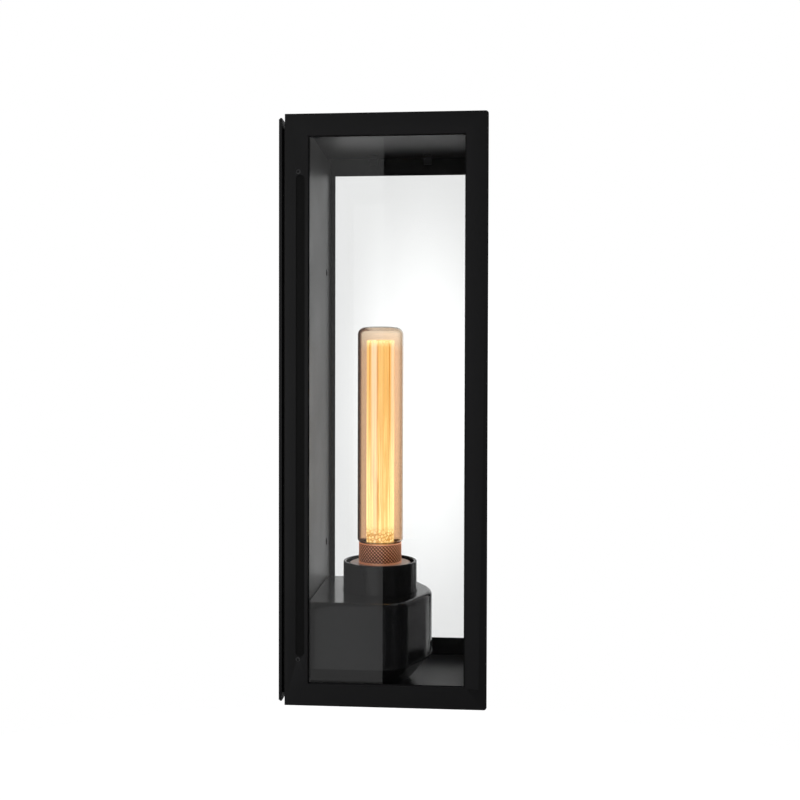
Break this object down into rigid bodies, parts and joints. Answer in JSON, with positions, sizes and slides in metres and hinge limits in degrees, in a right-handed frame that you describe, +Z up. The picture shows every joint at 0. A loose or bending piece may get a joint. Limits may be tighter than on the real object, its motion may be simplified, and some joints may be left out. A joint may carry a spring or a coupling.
{
  "type": "outdoor wall lantern",
  "caption": "Tall box-shaped wall lantern: black sheet cage with glass sides and front on a wall tray, and an upright tube bulb on a moulded lampholder housing.",
  "frame": {"origin": "middle of the wall fixing pattern, on the wall plane behind the back tray", "axes": "+Z up, +Y into the wall, so the lantern faces -Y; +X to the right as seen by someone facing the wall"},
  "size_m": [0.124, 0.1343, 0.38],
  "materials": {
    "black_paint": "fine textured satin black powder coat",
    "clear_glass": "clear polished",
    "foam": "closed-cell foam, matt",
    "zinc_steel": "zinc plated",
    "black_steel": "black oxide",
    "housing_black": "glossy moulded black",
    "cup_black": "semi-gloss moulded black",
    "grommet_black": "matt",
    "white_ceramic": "glazed",
    "brass": "bright",
    "white_rubber": "smooth silicone",
    "grey_plastic": "moulded",
    "brown_wire": "PVC insulation",
    "blue_wire": "PVC insulation",
    "earth_wire": "PVC insulation, green with a yellow stripe",
    "amber_glass": "clear amber tint, polished",
    "clear_acrylic": "clear engraved, lit from its foot",
    "led_white": "board with phosphor chips",
    "board_green": "solder mask",
    "copper_collar": "copper-coloured, knurled",
    "nickel_cap": "rolled, nickel plated",
    "black_insulator": "dark vitrified"
  },
  "bodies": {
    "wall_mount": {"back_tray": "black_paint", "wall_gasket": "foam", "wall_spacers": "zinc_steel", "cable_grommet": "grommet_black", "housing_shell": "housing_black", "housing_base": "housing_black", "housing_gasket": "foam", "housing_screws": "zinc_steel", "lampholder_cup": "cup_black", "lampholder_body": "white_ceramic", "screw_shell": "brass", "centre_contact": "brass", "side_contact": "brass", "holder_screws": "zinc_steel", "terminal_block": "grey_plastic", "terminal_screws": "brass", "live_wire": "brown_wire", "neutral_wire": "blue_wire", "earth_wire": "earth_wire", "earth_stud": "zinc_steel", "earth_nut": "zinc_steel"},
    "cage": {"left_side_panel": "black_paint", "right_side_panel": "black_paint", "front_frame": "black_paint", "top_plate": "black_paint", "bottom_plate": "black_paint", "left_glass": "clear_glass", "right_glass": "clear_glass", "front_glass": "clear_glass", "left_glass_tape": "foam", "right_glass_tape": "foam", "front_glass_tape": "foam", "left_glass_clips": "black_steel", "right_glass_clips": "black_steel", "front_glass_clips": "black_steel", "weld_nuts": "black_steel"},
    "neck_seal": {"neck_seal": "white_rubber"},
    "bulb": {"glass_envelope": "amber_glass", "light_guide": "clear_acrylic", "led_board": "led_white", "driver_board": "board_green", "knurled_collar": "copper_collar", "bulb_cap": "nickel_cap", "cap_insulator": "black_insulator", "tip_contact": "zinc_steel"},
    "left_upper_lock_screw": {"left_upper_lock_screw": "black_steel"},
    "left_lower_lock_screw": {"left_lower_lock_screw": "black_steel"},
    "right_upper_lock_screw": {"right_upper_lock_screw": "black_steel"},
    "right_lower_lock_screw": {"right_lower_lock_screw": "black_steel"}
  },
  "joints": [
    {"name": "cage_slide", "type": "slide", "parent": "wall_mount", "child": "cage", "axis": [0, -1, 0], "range_m": [0, 0.12]},
    {"name": "bulb_lift", "type": "slide", "parent": "wall_mount", "child": "neck_seal", "axis": [0, 0, 1], "range_m": [0, 0.01266]},
    {"name": "bulb_turn", "type": "hinge", "parent": "neck_seal", "child": "bulb", "pos_m": [0, -0.0604, -0.1103], "axis": [0, 0, 1], "range_deg": [0, 1260]},
    {"name": "left_upper_lock_screw_out", "type": "slide", "parent": "cage", "child": "left_upper_lock_screw", "axis": [-1, 0, 0], "range_m": [0, 0.0025]},
    {"name": "left_lower_lock_screw_out", "type": "slide", "parent": "cage", "child": "left_lower_lock_screw", "axis": [-1, 0, 0], "range_m": [0, 0.0025]},
    {"name": "right_upper_lock_screw_out", "type": "slide", "parent": "cage", "child": "right_upper_lock_screw", "axis": [1, 0, 0], "range_m": [0, 0.0025]},
    {"name": "right_lower_lock_screw_out", "type": "slide", "parent": "cage", "child": "right_lower_lock_screw", "axis": [1, 0, 0], "range_m": [0, 0.0025]}
  ],
  "couplings": [
    {"joint": "bulb_turn", "follows": "bulb_lift", "rad_per_m": 1735.7}
  ]
}
